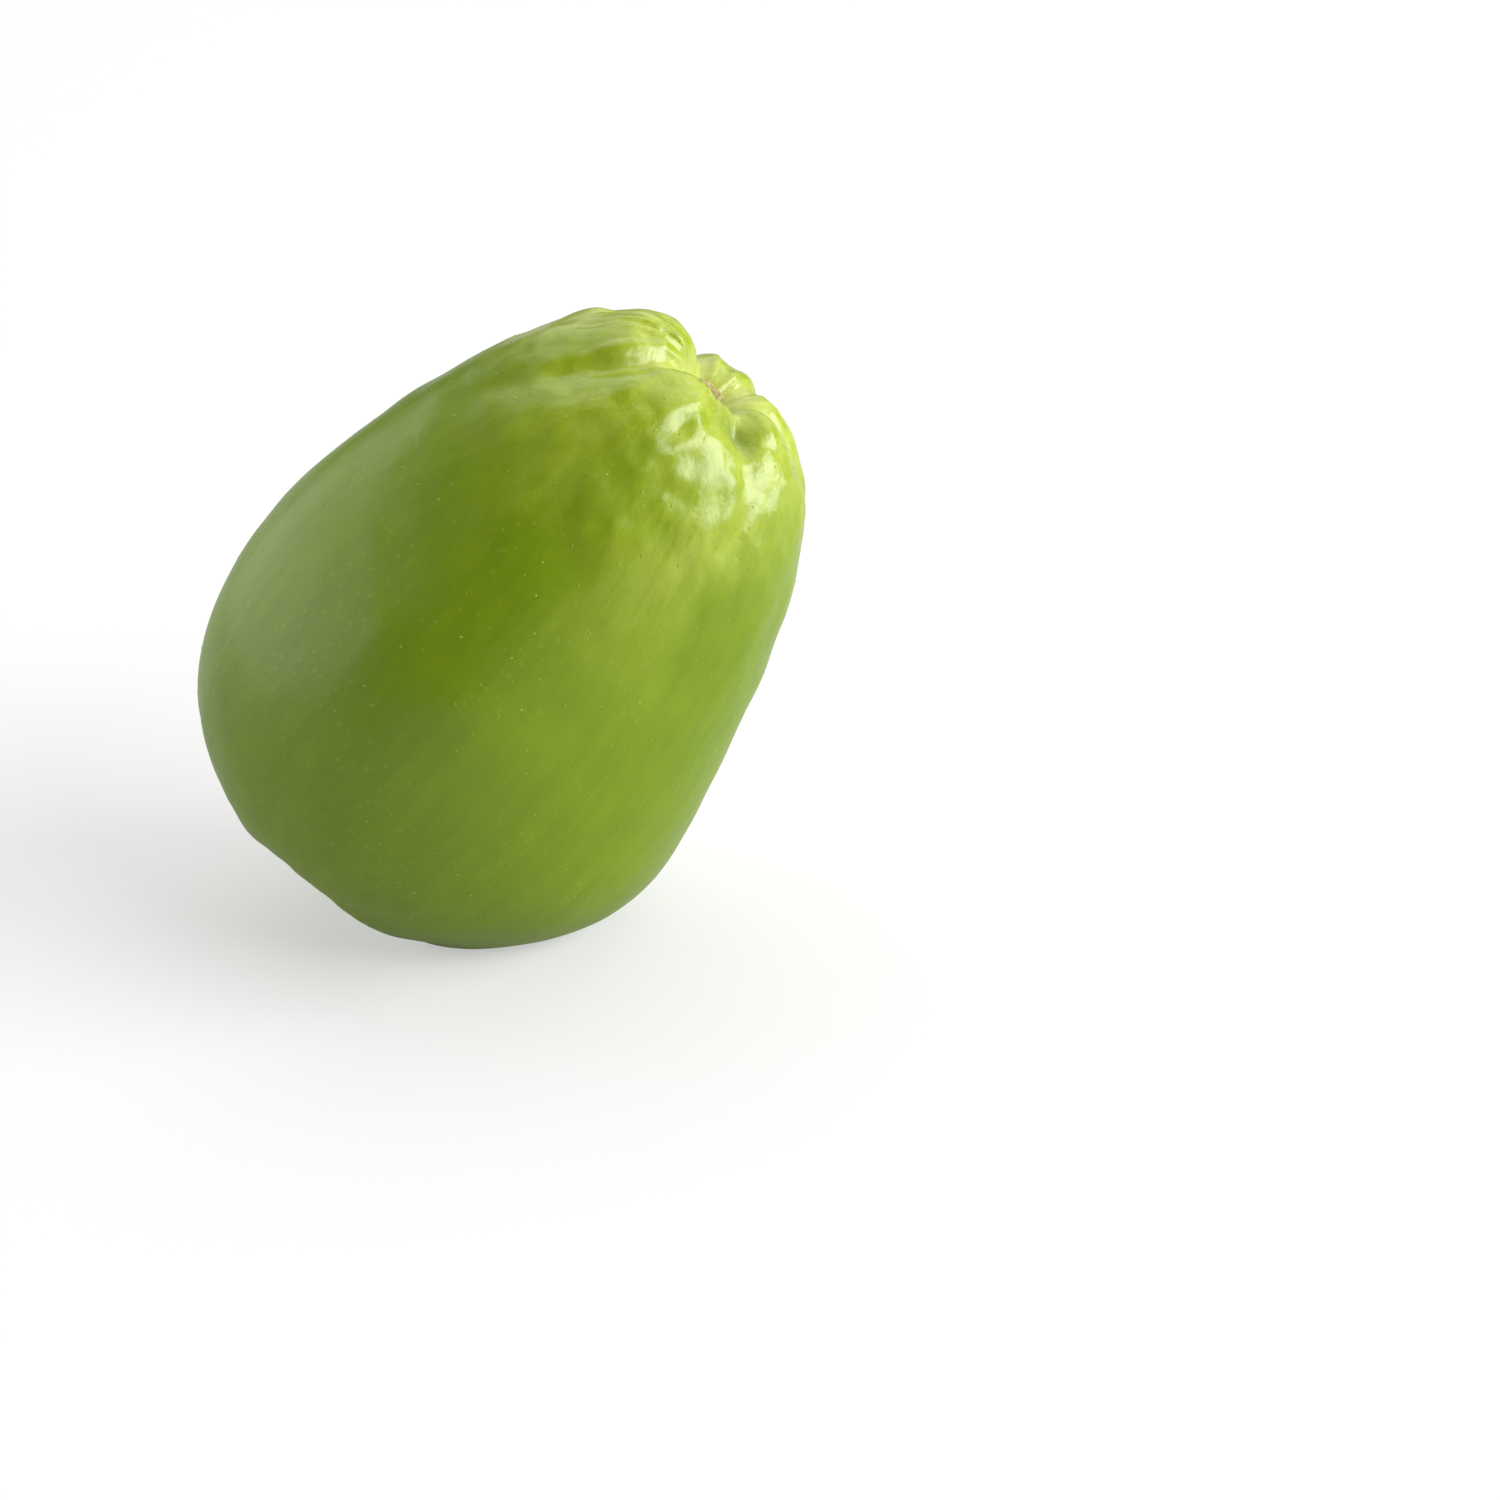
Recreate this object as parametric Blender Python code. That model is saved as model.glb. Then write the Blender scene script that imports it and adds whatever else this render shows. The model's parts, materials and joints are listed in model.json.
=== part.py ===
"""Chayote: one whole fruit, grown as one piece, resting on a small flat spot.

Sizes are in metres and degrees. The fruit's own frame has its long axis along +Z, from the
blossom end up to the stem end. Longitude 0 is the side that ends uppermost once the fruit
leans at rest, and 90 is its near side. The last step leans the fruit over, flattens the spot
that it rests on, and puts the world origin at the middle of that spot.
"""

import math

import bmesh
import bpy
from mathutils import Matrix, Vector

# Overall form
LENGTH = 0.120            # blossom end to stem end
WIDTH = 0.088             # across the wider way
THICKNESS = 0.078         # across the narrower way
WIDEST_HEIGHT = 0.0497    # of the widest section, up from the blossom end
STEM_TAPER = 0.38         # how much narrower the stem end is
TAPER_BLEND = 0.20        # how softly the taper starts at the widest section
STEM_BLUNT = (5.2, 2.8)
BLOSSOM_BLUNT = (2.4, 2.5)
RIB_HEIGHT = 0.0007       # five soft ribs between the furrows
BELLY = 0.0050            # how much fuller the side that it lies on is
BELLY_AT = -0.018         # height of the fullest place, from the widest section
BELLY_SPREAD = 0.022

# Stem end: a pit with a corky scar, and the furrows that run out of it
PIT_DEPTH = 0.0062
PIT_RADIUS = 0.0060
SCAR_HEIGHT = 0.0016
SCAR_RADIUS = 0.0026
FURROW_START = 0.0050
# longitude at the pit, turn per metre of reach, depth, reach
STEM_FURROWS = (
    (36.0, -700.0, 0.0046, 0.034),
    (88.0, 100.0, 0.0018, 0.021),
    (118.0, 150.0, 0.0036, 0.026),
    (178.0, -100.0, 0.0034, 0.030),
    (229.0, 150.0, 0.0034, 0.032),
    (283.0, -150.0, 0.0050, 0.034),
)
DIMPLE_AT = (112.0, 0.0150)
DIMPLE_DEPTH = 0.0018
DIMPLE_RADIUS = 0.0038

# Blossom end: one deep cleft across it, and the shorter folds beside the cleft
CLEFT_TURN = 80.0
CLEFT_DEPTH = 0.0100
CLEFT_HALF_LENGTH = 0.0260
CLEFT_HALF_WIDTH = 0.0022
LIP_DEPTH = 0.0030
LIP_HALF_WIDTH = 0.0085
# longitude, depth, reach
BLOSSOM_FOLDS = (
    (10.0, 0.0034, 0.030),
    (42.0, 0.0020, 0.024),
    (130.0, 0.0026, 0.024),
    (232.0, 0.0028, 0.026),
    (318.0, 0.0034, 0.030),
)

# Rest
LEAN_UP = 52.0            # long axis above the ground
REST_SINK = 0.0032        # how much the ground takes off the roundness
REST_BLEND = 0.0007       # soft rim round the flat spot

# Mesh
SEGMENTS = 72
RINGS = 48
POLE_CROWDING = 3.2
CROWDED_REACH = 0.020

SKIN_COLOUR = (0.212, 0.318, 0.030, 1.0)
SKIN_ROUGHNESS = 0.38


def clear_scene():
    for obj in list(bpy.data.objects):
        bpy.data.objects.remove(obj, do_unlink=True)


def radius_share(height):
    """Share of the half width at a height from -1, the blossom end, to +1, the stem end."""
    if height > 0.0:
        body = max(0.0, 1.0 - height ** STEM_BLUNT[0]) ** (1.0 / STEM_BLUNT[1])
        ramp = math.hypot(height, TAPER_BLEND) - TAPER_BLEND
        full = math.hypot(1.0, TAPER_BLEND) - TAPER_BLEND
        return body * (1.0 - STEM_TAPER * ramp / full)
    return max(0.0, 1.0 - (-height) ** BLOSSOM_BLUNT[0]) ** (1.0 / BLOSSOM_BLUNT[1])


def trace_outline(samples=3000):
    """The half outline from the stem pole to the blossom pole: arc length, share, height."""
    heights = [math.cos(math.pi * i / samples) for i in range(samples + 1)]
    for i in range(1, samples):
        fine = math.sin(0.5 * math.pi * i / samples)
        heights.append(fine ** (2.0 / STEM_BLUNT[0]))
        heights.append(-(fine ** (2.0 / BLOSSOM_BLUNT[0])))
    heights.sort(reverse=True)
    half = 0.25 * (WIDTH + THICKNESS)
    rows = []
    arc = 0.0
    before = None
    for height in heights:
        share = radius_share(height)
        z = height * (LENGTH - WIDEST_HEIGHT if height > 0.0 else WIDEST_HEIGHT)
        if before is not None:
            arc += math.hypot(share * half - before[0] * half, z - before[1])
        rows.append((arc, share, z))
        before = (share, z)
    return rows


def look_up(rows, arc):
    """Share and height of the outline at an arc length, by halving the list."""
    low = 0
    high = len(rows) - 1
    while high - low > 1:
        middle = (low + high) // 2
        if rows[middle][0] <= arc:
            low = middle
        else:
            high = middle
    span = rows[high][0] - rows[low][0]
    part = 0.0 if span <= 0.0 else (arc - rows[low][0]) / span
    part = min(1.0, max(0.0, part))
    share = rows[low][1] + part * (rows[high][1] - rows[low][1])
    z = rows[low][2] + part * (rows[high][2] - rows[low][2])
    return share, z


def space_rings(total):
    """Arc length of each ring: crowded towards the two ends, where the folds are."""
    steps = 2000
    sums = [0.0]
    for i in range(steps):
        arc = total * (i + 0.5) / steps
        near = math.exp(-((arc / CROWDED_REACH) ** 2))
        far = math.exp(-(((total - arc) / (1.3 * CROWDED_REACH)) ** 2))
        sums.append(sums[-1] + 1.0 + POLE_CROWDING * (near + far))
    places = []
    index = 0
    for ring in range(RINGS + 1):
        wanted = sums[-1] * ring / RINGS
        while index < steps and sums[index + 1] < wanted:
            index += 1
        span = sums[min(index + 1, steps)] - sums[index]
        part = 0.0 if span <= 0.0 else (wanted - sums[index]) / span
        places.append(total * min(1.0, (index + part) / steps))
    return places


def turn_between(longitude, centre):
    """Signed angle from a centre line to a longitude, in radians."""
    return (longitude - centre + math.pi) % (2.0 * math.pi) - math.pi


def furrow_section(across, narrow, broad):
    """A crease in a wide, soft valley."""
    crease = math.exp(-((across / narrow) ** 2))
    valley = math.exp(-((across / broad) ** 2))
    return 0.5 * crease + 0.5 * valley


def stem_depth(arc, radius, longitude):
    """How far the stem end's pit and furrows go in at a point."""
    depth = PIT_DEPTH * math.exp(-((arc / PIT_RADIUS) ** 2))
    depth -= SCAR_HEIGHT * math.exp(-((arc / SCAR_RADIUS) ** 4))
    for start, turn, deep, reach in STEM_FURROWS:
        centre = math.radians(start + turn * max(0.0, arc - 0.018))
        across = radius * abs(turn_between(longitude, centre))
        along = min(1.0, arc / FURROW_START) * math.exp(-((arc / reach) ** 2))
        width = 0.0016 + 0.05 * arc
        depth += deep * along * furrow_section(across, width, 0.0035 + 0.17 * arc)
    turn = turn_between(longitude, math.radians(DIMPLE_AT[0]))
    away = math.hypot(radius * turn, arc - DIMPLE_AT[1])
    depth += DIMPLE_DEPTH * math.exp(-((away / DIMPLE_RADIUS) ** 2))
    return depth


def blossom_depth(arc, radius, longitude):
    """How far the blossom end's cleft and folds go in at a point."""
    turn = longitude - math.radians(CLEFT_TURN)
    across = abs(arc * math.sin(turn))
    along = abs(arc * math.cos(turn)) / CLEFT_HALF_LENGTH
    run = max(0.0, 1.0 - along * along)
    depth = CLEFT_DEPTH * run * math.exp(-((across / CLEFT_HALF_WIDTH) ** 1.5))
    lip_run = math.exp(-((along / 1.05) ** 4))
    depth += LIP_DEPTH * lip_run * math.exp(-((across / LIP_HALF_WIDTH) ** 2))
    for centre, deep, reach in BLOSSOM_FOLDS:
        across = radius * abs(turn_between(longitude, math.radians(centre)))
        fold_run = min(1.0, arc / 0.008) * math.exp(-((arc / reach) ** 3))
        depth += deep * fold_run * furrow_section(across, 0.0017 + 0.04 * arc, 0.004 + 0.14 * arc)
    return depth


def smooth_point(rows, total, arc, longitude):
    """A point of the plain fruit, before any furrow."""
    share, z = look_up(rows, min(total, max(0.0, arc)))
    x = 0.5 * WIDTH * share * math.cos(longitude)
    y = 0.5 * THICKNESS * share * math.sin(longitude)
    under = max(0.0, -math.cos(longitude)) ** 2
    x -= BELLY * share * under * math.exp(-(((z - BELLY_AT) / BELLY_SPREAD) ** 2))
    return Vector((x, y, z))


def furrowed_point(rows, total, arc, longitude):
    """The same point moved in along the plain fruit's normal."""
    place = smooth_point(rows, total, arc, longitude)
    step = 0.0004
    middle = min(total - 2.0 * step, max(2.0 * step, arc))
    down = smooth_point(rows, total, middle + step, longitude)
    down -= smooth_point(rows, total, middle - step, longitude)
    around = smooth_point(rows, total, middle, longitude + 0.01)
    around -= smooth_point(rows, total, middle, longitude - 0.01)
    normal = down.cross(around).normalized()
    if arc <= 0.0 or arc >= total:
        normal = Vector((0.0, 0.0, 1.0 if arc <= 0.0 else -1.0))
    radius = math.hypot(place.x, place.y)
    rib = 0.5 - 0.5 * math.cos(5.0 * (longitude - math.radians(36.0)))
    fade = math.sin(math.pi * min(1.0, arc / total)) ** 2
    depth = stem_depth(arc, radius, longitude) + blossom_depth(total - arc, radius, longitude)
    return place - normal * (depth - RIB_HEIGHT * rib * fade)


def flatten(height):
    """Height above the ground, with everything under it brought up to a flat spot."""
    if height < -REST_BLEND:
        return 0.0
    if height < REST_BLEND:
        return (height + REST_BLEND) ** 2 / (4.0 * REST_BLEND)
    return height


def shape_fruit(mesh_edit):
    """Moves the vertices of a unit sphere onto the fruit, and rests it on the ground."""
    rows = trace_outline()
    total = rows[-1][0]
    places = space_rings(total)
    lean = math.radians(LEAN_UP)
    along = Vector((math.cos(lean), 0.0, math.sin(lean)))
    upper = Vector((-math.sin(lean), 0.0, math.cos(lean)))
    near = along.cross(upper)
    pose = Matrix((upper, near, along)).transposed()
    for vertex in mesh_edit.verts:
        polar = math.acos(max(-1.0, min(1.0, vertex.co.z / vertex.co.length)))
        ring = round(RINGS * polar / math.pi)
        longitude = math.atan2(vertex.co.y, vertex.co.x)
        arc = places[ring]
        if ring == 0 or ring == RINGS:
            longitude = math.radians(CLEFT_TURN)
        vertex.co = pose @ furrowed_point(rows, total, arc, longitude)
    ground = min(vertex.co.z for vertex in mesh_edit.verts) + REST_SINK
    for vertex in mesh_edit.verts:
        vertex.co.z = flatten(vertex.co.z - ground)
    flat = [vertex.co for vertex in mesh_edit.verts if vertex.co.z < 1e-7]
    middle_x = 0.5 * (min(co.x for co in flat) + max(co.x for co in flat))
    middle_y = 0.5 * (min(co.y for co in flat) + max(co.y for co in flat))
    bmesh.ops.translate(mesh_edit, verts=mesh_edit.verts, vec=(-middle_x, -middle_y, 0.0))


def make_skin():
    """Waxy green skin."""
    skin = bpy.data.materials.new("chayote_skin")
    skin.use_nodes = True
    surface = skin.node_tree.nodes["Principled BSDF"]
    surface.inputs["Base Color"].default_value = SKIN_COLOUR
    surface.inputs["Roughness"].default_value = SKIN_ROUGHNESS
    surface.inputs["Metallic"].default_value = 0.0
    skin.diffuse_color = SKIN_COLOUR
    return skin


def build():
    clear_scene()
    collection = bpy.data.collections.new("chayote")
    bpy.context.scene.collection.children.link(collection)
    mesh_edit = bmesh.new()
    bmesh.ops.create_uvsphere(mesh_edit, u_segments=SEGMENTS, v_segments=RINGS, radius=1.0)
    shape_fruit(mesh_edit)
    bmesh.ops.recalc_face_normals(mesh_edit, faces=mesh_edit.faces)
    mesh = bpy.data.meshes.new("chayote")
    mesh_edit.to_mesh(mesh)
    mesh_edit.free()
    mesh.shade_smooth()
    mesh.set_sharp_from_angle(angle=math.radians(50.0))
    mesh.materials.append(make_skin())
    fruit = bpy.data.objects.new("chayote", mesh)
    collection.objects.link(fruit)


build()
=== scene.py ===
"""Looks of one whole chayote, leaning at rest on its flat spot.

The fruit grew as one piece, so its skin is one closed mesh. A corky scar sits in the stem pit,
the dry remains of the flower sit in the cleft at the other end, and small lenticels are
scattered over the skin.

Lengths are in metres. Angles that are named sizes are in degrees, and angles that functions
take are in radians. The fruit's own frame has its long axis on Z, with the stem end up. An arc
is a distance along the fruit's outline, and a longitude is an angle round the long axis.
"""

from __future__ import annotations

import json
import logging
import math
from dataclasses import astuple, dataclass, field
from enum import Enum

import bpy
import numpy as np
from bpy.types import Material, Node, NodeSocket, NodeTree, Object
from mathutils import Euler, Matrix, Vector

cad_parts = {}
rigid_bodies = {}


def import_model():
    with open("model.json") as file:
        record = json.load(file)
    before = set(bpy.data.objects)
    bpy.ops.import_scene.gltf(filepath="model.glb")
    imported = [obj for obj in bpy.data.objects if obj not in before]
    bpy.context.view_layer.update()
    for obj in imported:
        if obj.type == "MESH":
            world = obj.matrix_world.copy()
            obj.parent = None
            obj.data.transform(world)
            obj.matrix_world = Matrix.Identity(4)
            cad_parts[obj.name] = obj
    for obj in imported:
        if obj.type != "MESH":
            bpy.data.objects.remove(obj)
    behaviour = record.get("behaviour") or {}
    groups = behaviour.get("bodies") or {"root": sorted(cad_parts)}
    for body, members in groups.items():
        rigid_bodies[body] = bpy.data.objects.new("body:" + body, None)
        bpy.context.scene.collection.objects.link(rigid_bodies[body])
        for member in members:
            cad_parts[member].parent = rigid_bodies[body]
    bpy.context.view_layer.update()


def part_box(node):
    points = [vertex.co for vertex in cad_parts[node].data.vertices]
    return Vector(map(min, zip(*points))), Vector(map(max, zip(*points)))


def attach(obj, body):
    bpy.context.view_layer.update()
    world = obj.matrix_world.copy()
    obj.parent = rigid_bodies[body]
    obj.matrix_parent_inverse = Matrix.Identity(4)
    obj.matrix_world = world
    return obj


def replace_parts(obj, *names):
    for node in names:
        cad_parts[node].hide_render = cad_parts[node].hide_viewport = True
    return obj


LOG = logging.getLogger("chayote")

Array = np.ndarray
Pair = tuple[float, float]
Triple = tuple[float, float, float]
Colour = tuple[float, float, float, float]
WHITE: Colour = (1.0, 1.0, 1.0, 1.0)


class Slot(Enum):
    """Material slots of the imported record."""

    SKIN = "skin"


class Attribute(Enum):
    """Names of the values that the skin carries at each vertex."""

    # Mask of the furrows' pale cream, which is partly a painted highlight.
    CREASE = "crease"
    FROM_STEM = "from_stem"
    BARE = "bare"
    # Mask of the painted shade in the dimple beside the stem pit.
    HOLLOW = "hollow"


class Socket(Enum):
    """Kinds of socket that the node trees have."""

    NUMBER = "NodeSocketFloat"
    WHOLE = "NodeSocketInt"
    COLOUR = "NodeSocketColor"
    OBJECT = "NodeSocketObject"
    GEOMETRY = "NodeSocketGeometry"


# ---- Form of the fruit ----


@dataclass(frozen=True)
class Furrow:
    """One furrow that runs out of the stem pit, or one fold of the blossom end.

    turn is how many degrees it swings round the fruit for each metre that it runs.
    """

    longitude: float
    depth: float
    reach: float
    turn: float = 0.0


@dataclass(frozen=True)
class Grooves:
    """Furrows of one end, each a narrow crease along the middle of a soft valley.

    start is how far from the pole they are at their full depth, and fall is how suddenly they
    end. crease and valley hold a half width at the pole, and its growth with each metre of arc.
    """

    furrows: tuple[Furrow, ...]
    start: float
    fall: float
    crease: Pair
    valley: Pair
    turns_from: float = 0.0

    def depth(self, spots: Spots, arc: Array) -> Array:
        """How far they go in.

        Args:
            spots: Where.
            arc: The arc of each spot from this end's pole.

        Returns:
            Depths.
        """
        depth = np.zeros(len(arc))
        widths = [at_pole + growth * arc for at_pole, growth in (self.crease, self.valley)]
        for furrow in self.furrows:
            turned = furrow.turn * np.clip(arc - self.turns_from, 0.0, None)
            centre = np.radians(furrow.longitude + turned)
            across = spots.radius * np.abs(turn_between(spots.longitude, centre))
            along = np.clip(arc / self.start, 0.0, 1.0) * fade(arc, furrow.reach, self.fall)
            section = 0.5 * (fade(across, widths[0]) + fade(across, widths[1]))
            depth += furrow.depth * along * section
        return depth


@dataclass(frozen=True)
class FruitForm:
    """The fruit's form in its own frame, and how it leans at rest.

    stem_blunt and blossom_blunt are the powers that round off the two ends, and dimple_at is a
    longitude and an arc.
    """

    length: float = 0.120
    width: float = 0.088
    thickness: float = 0.078
    widest_height: float = 0.0497
    stem_taper: float = 0.38
    taper_blend: float = 0.20
    stem_blunt: Pair = (5.2, 2.8)
    blossom_blunt: Pair = (2.4, 2.5)
    rib_count: int = 5
    rib_height: float = 0.0007
    first_rib_gap: float = 36.0
    belly: float = 0.0050
    belly_at: float = -0.018
    belly_spread: float = 0.022
    pit_depth: float = 0.0062
    pit_radius: float = 0.0060
    stem_furrows: Grooves = Grooves(
        (
            Furrow(36.0, 0.0046, 0.034, -700.0),
            Furrow(88.0, 0.0018, 0.021, 100.0),
            Furrow(118.0, 0.0036, 0.026, 150.0),
            Furrow(178.0, 0.0034, 0.030, -100.0),
            Furrow(229.0, 0.0034, 0.032, 150.0),
            Furrow(283.0, 0.0050, 0.034, -150.0),
        ),
        start=0.0050,
        fall=2,
        crease=(0.0016, 0.05),
        valley=(0.0035, 0.17),
        turns_from=0.018,
    )
    dimple_at: Pair = (112.0, 0.0150)
    dimple_depth: float = 0.0018
    dimple_radius: float = 0.0038
    cleft_turn: float = 80.0
    cleft_depth: float = 0.0100
    cleft_half_length: float = 0.0260
    cleft_half_width: float = 0.0022
    lip_depth: float = 0.0030
    lip_overrun: float = 1.05
    lip_half_width: float = 0.0085
    blossom_folds: Grooves = Grooves(
        (
            Furrow(10.0, 0.0034, 0.030),
            Furrow(42.0, 0.0020, 0.024),
            Furrow(130.0, 0.0026, 0.024),
            Furrow(232.0, 0.0028, 0.026),
            Furrow(318.0, 0.0034, 0.030),
        ),
        start=0.008,
        fall=3,
        crease=(0.0017, 0.04),
        valley=(0.004, 0.14),
    )
    lean_up: float = 52.0
    rest_sink: float = 0.0032
    rest_blend: float = 0.0007

    def outline(self, samples: int = 3000) -> tuple[Array, Array, Array]:
        """The half outline, traced from the stem pole to the blossom pole.

        Args:
            samples: How many steps each way of spacing the heights takes.

        Returns:
            Arc, share of the half width, and height at each step.
        """
        stem_power, stem_root = self.stem_blunt
        power, root = self.blossom_blunt
        even = np.cos(np.linspace(0.0, math.pi, samples + 1))
        fine = np.sin(np.linspace(0.0, 0.5 * math.pi, samples + 1)[1:-1])
        heights = np.concatenate([even, fine ** (2.0 / stem_power), -(fine ** (2.0 / power))])
        heights = np.unique(np.clip(heights, -1.0, 1.0))[::-1]
        up = np.clip(heights, 0.0, 1.0)
        down = np.clip(-heights, 0.0, 1.0)
        ramp = np.hypot(up, self.taper_blend) - self.taper_blend
        full = math.hypot(1.0, self.taper_blend) - self.taper_blend
        stem = (1.0 - up**stem_power) ** (1.0 / stem_root)
        stem = stem * (1.0 - self.stem_taper * ramp / full)
        share = np.where(heights > 0.0, stem, (1.0 - down**power) ** (1.0 / root))
        above = self.length - self.widest_height
        z = np.where(heights > 0.0, heights * above, heights * self.widest_height)
        half = 0.25 * (self.width + self.thickness)
        steps = np.hypot(np.diff(share) * half, np.diff(z))
        arc = np.concatenate([[0.0], np.cumsum(steps)])
        return arc, share, z

    def pose(self) -> Array:
        """How the fruit leans at rest.

        Returns:
            Matrix from the fruit's own frame to the leaning one: upper, near and long axes.
        """
        lean = math.radians(self.lean_up)
        along = np.array([math.cos(lean), 0.0, math.sin(lean)])
        upper = np.array([-math.sin(lean), 0.0, math.cos(lean)])
        return np.stack([upper, np.cross(along, upper), along], axis=1)

    def flatten(self, height: Array) -> Array:
        """Brings everything under the ground up to one flat spot with a soft rim.

        Args:
            height: Heights above the ground.

        Returns:
            The heights, none of them under the ground.
        """
        blend = self.rest_blend
        rim = (height + blend) ** 2 / (4.0 * blend)
        return np.where(height < -blend, 0.0, np.where(height < blend, rim, height))


def fade(distance: Array, reach: float | Array, power: float = 2) -> Array:
    """Share that falls softly from 1 to 0, with about a third left at a distance of reach."""
    return np.exp(-((distance / reach) ** power))


def turn_between(longitude: Array, centre: Array | float) -> Array:
    """Signed angle from a centre line to a longitude, from -pi to pi."""
    return (longitude - centre + math.pi) % (2.0 * math.pi) - math.pi


def lattice_noise(points: Array, seed: int) -> Array:
    """Smooth noise, the same on each run.

    Args:
        points: Places, in lattice cells, as rows of three.
        seed: Which pattern.

    Returns:
        One value from -1 to 1 for each place.
    """
    cell = np.floor(points).astype(np.int64)
    part = points - cell
    soft = part * part * part * (part * (part * 6.0 - 15.0) + 10.0)
    total = np.zeros(len(points))
    for corner in range(8):
        bits = np.array([corner & 1, (corner >> 1) & 1, (corner >> 2) & 1])
        node = cell + bits
        mixed = node[:, 0] * 73856093 ^ node[:, 1] * 19349663 ^ node[:, 2] * 83492791
        mixed = (mixed ^ seed * 2654435761) & 0xFFFFFFFF
        mixed = (mixed ^ (mixed >> 15)) * 2246822519 & 0xFFFFFFFF
        mixed = (mixed ^ (mixed >> 13)) * 3266489917 & 0xFFFFFFFF
        value = ((mixed ^ (mixed >> 16)) & 0xFFFF) / 32767.5 - 1.0
        weight = np.where(bits == 1, soft, 1.0 - soft).prod(axis=1)
        total += value * weight
    return total


def spoke_noise(turn: Array, along: Array, cells: float, seed: int) -> Array:
    """Noise in spokes round a pole, more of them with more cells. along is in cells too."""
    places = np.stack([np.cos(turn) * cells, np.sin(turn) * cells, along], axis=-1)
    return lattice_noise(places, seed)


@dataclass(frozen=True)
class Spots:
    """Places on the plain fruit.

    arc is from the stem pole, back is the arc from the blossom pole, and radius is the distance
    from the long axis.
    """

    arc: Array
    back: Array
    radius: Array
    longitude: Array
    points: Array


@dataclass(frozen=True)
class SkinRelief:
    """Small unevenness of the skin, each layer with its size across and its height."""

    lump_size: float = 0.026
    lump_height: float = 0.00045
    dent_size: float = 0.0075
    dent_height: float = 0.00012
    stem_dent_height: float = 0.00070
    stem_dent_reach: float = 0.040
    finer_dents: float = 0.65
    wrinkle_cells: float = 28.0 / math.pi
    wrinkle_length: float = 0.011
    wrinkle_height: float = 0.00080
    wrinkle_from: float = 0.0070
    wrinkle_blend: float = 0.0012
    wrinkle_reach: float = 0.033
    patch_cells: float = 1.3
    patch_length: float = 0.030
    patch_middle: float = 0.55
    patch_swing: float = 0.75
    knob_size: float = 0.0105
    knob_height: float = 0.00090
    knob_reach: float = 0.034
    pucker_cells: float = 26.0 / math.pi
    pucker_length: float = 0.012
    pucker_height: float = 0.00075
    pucker_from: float = 0.004
    pucker_reach: float = 0.024

    def rise(self, spots: Spots) -> Array:
        """How far the skin stands out from the smooth form, or falls in.

        Args:
            spots: Where.

        Returns:
            Heights, above or below the smooth form.
        """
        arc, back, turn, points = spots.arc, spots.back, spots.longitude, spots.points
        near_stem = fade(arc, self.stem_dent_reach)
        dents = lattice_noise(points / self.dent_size, seed=23)
        finer = lattice_noise(points / (0.5 * self.dent_size), seed=29)
        height = self.lump_height * lattice_noise(points / self.lump_size, seed=11)
        height = height + (self.dent_height + self.stem_dent_height * near_stem) * dents
        height = height + self.finer_dents * self.stem_dent_height * near_stem * finer
        begin = 1.0 / (1.0 + np.exp(-(arc - self.wrinkle_from) / self.wrinkle_blend))
        sectors = spoke_noise(turn, arc / self.patch_length, self.patch_cells, seed=67)
        patchy = self.patch_middle + self.patch_swing * sectors
        spokes = spoke_noise(turn, arc / self.wrinkle_length, self.wrinkle_cells, seed=37)
        wrinkles = self.wrinkle_height * begin * fade(arc, self.wrinkle_reach) * patchy * spokes
        knobs = lattice_noise(points / self.knob_size, seed=59)
        height = height + wrinkles + self.knob_height * fade(back, self.knob_reach, 4) * knobs
        gather = np.clip(back / self.pucker_from, 0.0, 1.0) * fade(back, self.pucker_reach)
        pleats = spoke_noise(turn, back / self.pucker_length, self.pucker_cells, seed=41)
        return height + self.pucker_height * gather * pleats


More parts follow.
